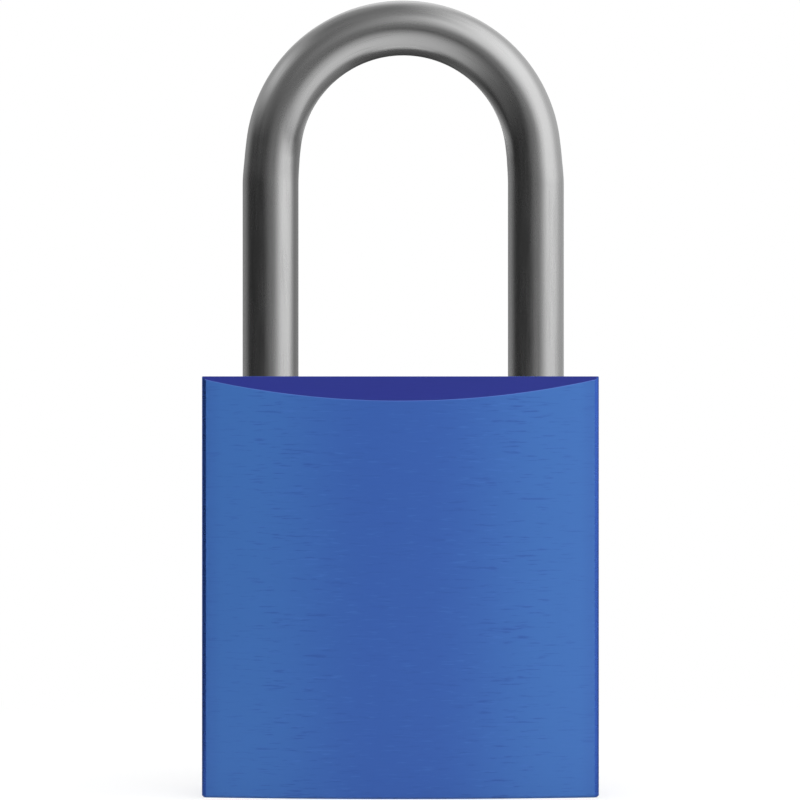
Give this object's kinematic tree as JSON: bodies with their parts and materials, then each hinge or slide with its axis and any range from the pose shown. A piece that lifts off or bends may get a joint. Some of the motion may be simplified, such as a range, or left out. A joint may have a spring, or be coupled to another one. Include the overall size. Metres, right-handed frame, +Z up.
{
  "type": "padlock",
  "caption": "Small keyed padlock: bowed anodised aluminium body with bevelled top edges, round steel shackle locked by balls, cylinder in the bottom face.",
  "frame": {"origin": "middle of the body's bottom face", "axes": "+Z up along the shackle legs, front face towards -Y, short toe leg on +X, long heel leg on -X"},
  "size_m": [0.028, 0.0144, 0.0567],
  "materials": {
    "anodised_body": "blue anodised, finely brushed across",
    "shackle_steel": "satin ground steel rod",
    "housing_brass": "turned and milled brass",
    "plug_brass": "turned brass, broached keyway",
    "spring_steel": "drawn spring wire and stamped clip",
    "cam_steel": "plain machined steel",
    "ball_steel": "ground and polished steel"
  },
  "bodies": {
    "body": {"lock_body": "anodised_body", "cylinder_housing": "housing_brass", "cylinder_screw": "cam_steel", "shackle_spring": "spring_steel", "pin_spring_1": "spring_steel", "pin_spring_2": "spring_steel", "pin_spring_3": "spring_steel", "pin_spring_4": "spring_steel", "chamber_cap_1": "housing_brass", "chamber_cap_2": "housing_brass", "chamber_cap_3": "housing_brass", "chamber_cap_4": "housing_brass"},
    "shackle": {"shackle": "shackle_steel"},
    "plug": {"plug": "plug_brass", "plug_clip": "spring_steel", "locking_cam": "cam_steel"},
    "heel_ball": {"heel_ball": "ball_steel"},
    "toe_ball": {"toe_ball": "ball_steel"},
    "key_pin_1": {"key_pin_1": "plug_brass"},
    "driver_pin_1": {"driver_pin_1": "ball_steel"},
    "key_pin_2": {"key_pin_2": "plug_brass"},
    "driver_pin_2": {"driver_pin_2": "ball_steel"},
    "key_pin_3": {"key_pin_3": "plug_brass"},
    "driver_pin_3": {"driver_pin_3": "ball_steel"},
    "key_pin_4": {"key_pin_4": "plug_brass"},
    "driver_pin_4": {"driver_pin_4": "ball_steel"}
  },
  "joints": [
    {"name": "shackle_lift", "type": "slide", "parent": "body", "child": "shackle", "axis": [0, 0, 1], "range_m": [0, 0.0102], "deforming": ["shackle_spring"]},
    {"name": "plug_turn", "type": "hinge", "parent": "body", "child": "plug", "pos_m": [0, 0, 0.008], "axis": [0, 0, 1], "range_deg": [-90, 0]},
    {"name": "toe_ball_slide", "type": "slide", "parent": "body", "child": "toe_ball", "axis": [1, 0, 0], "range_m": [0, 0.00125]},
    {"name": "heel_ball_slide", "type": "slide", "parent": "body", "child": "heel_ball", "axis": [-1, 0, 0], "range_m": [0, 0.00065]},
    {"name": "key_pin_1_slide", "type": "slide", "parent": "plug", "child": "key_pin_1", "axis": [0, 1, 0], "range_m": [-0.0013, 0]},
    {"name": "key_pin_2_slide", "type": "slide", "parent": "plug", "child": "key_pin_2", "axis": [0, 1, 0], "range_m": [-0.0005, 0]},
    {"name": "key_pin_3_slide", "type": "slide", "parent": "plug", "child": "key_pin_3", "axis": [0, 1, 0], "range_m": [-0.0017, 0]},
    {"name": "key_pin_4_slide", "type": "slide", "parent": "plug", "child": "key_pin_4", "axis": [0, 1, 0], "range_m": [-0.0009, 0]},
    {"name": "driver_pin_1_slide", "type": "slide", "parent": "body", "child": "driver_pin_1", "axis": [1, 0, 0], "range_m": [0, 0.0015], "stiffness_N_per_m": 150, "springref_m": -0.001, "deforming": ["pin_spring_1"]},
    {"name": "driver_pin_2_slide", "type": "slide", "parent": "body", "child": "driver_pin_2", "axis": [1, 0, 0], "range_m": [0, 0.0015], "stiffness_N_per_m": 150, "springref_m": -0.001, "deforming": ["pin_spring_2"]},
    {"name": "driver_pin_3_slide", "type": "slide", "parent": "body", "child": "driver_pin_3", "axis": [1, 0, 0], "range_m": [0, 0.0015], "stiffness_N_per_m": 150, "springref_m": -0.001, "deforming": ["pin_spring_3"]},
    {"name": "driver_pin_4_slide", "type": "slide", "parent": "body", "child": "driver_pin_4", "axis": [1, 0, 0], "range_m": [0, 0.0015], "stiffness_N_per_m": 150, "springref_m": -0.001, "deforming": ["pin_spring_4"]}
  ],
  "couplings": [
    {"joint": "toe_ball_slide", "follows": "plug_turn", "m_per_rad": -0.00079577},
    {"joint": "heel_ball_slide", "follows": "plug_turn", "m_per_rad": -0.0004138}
  ]
}
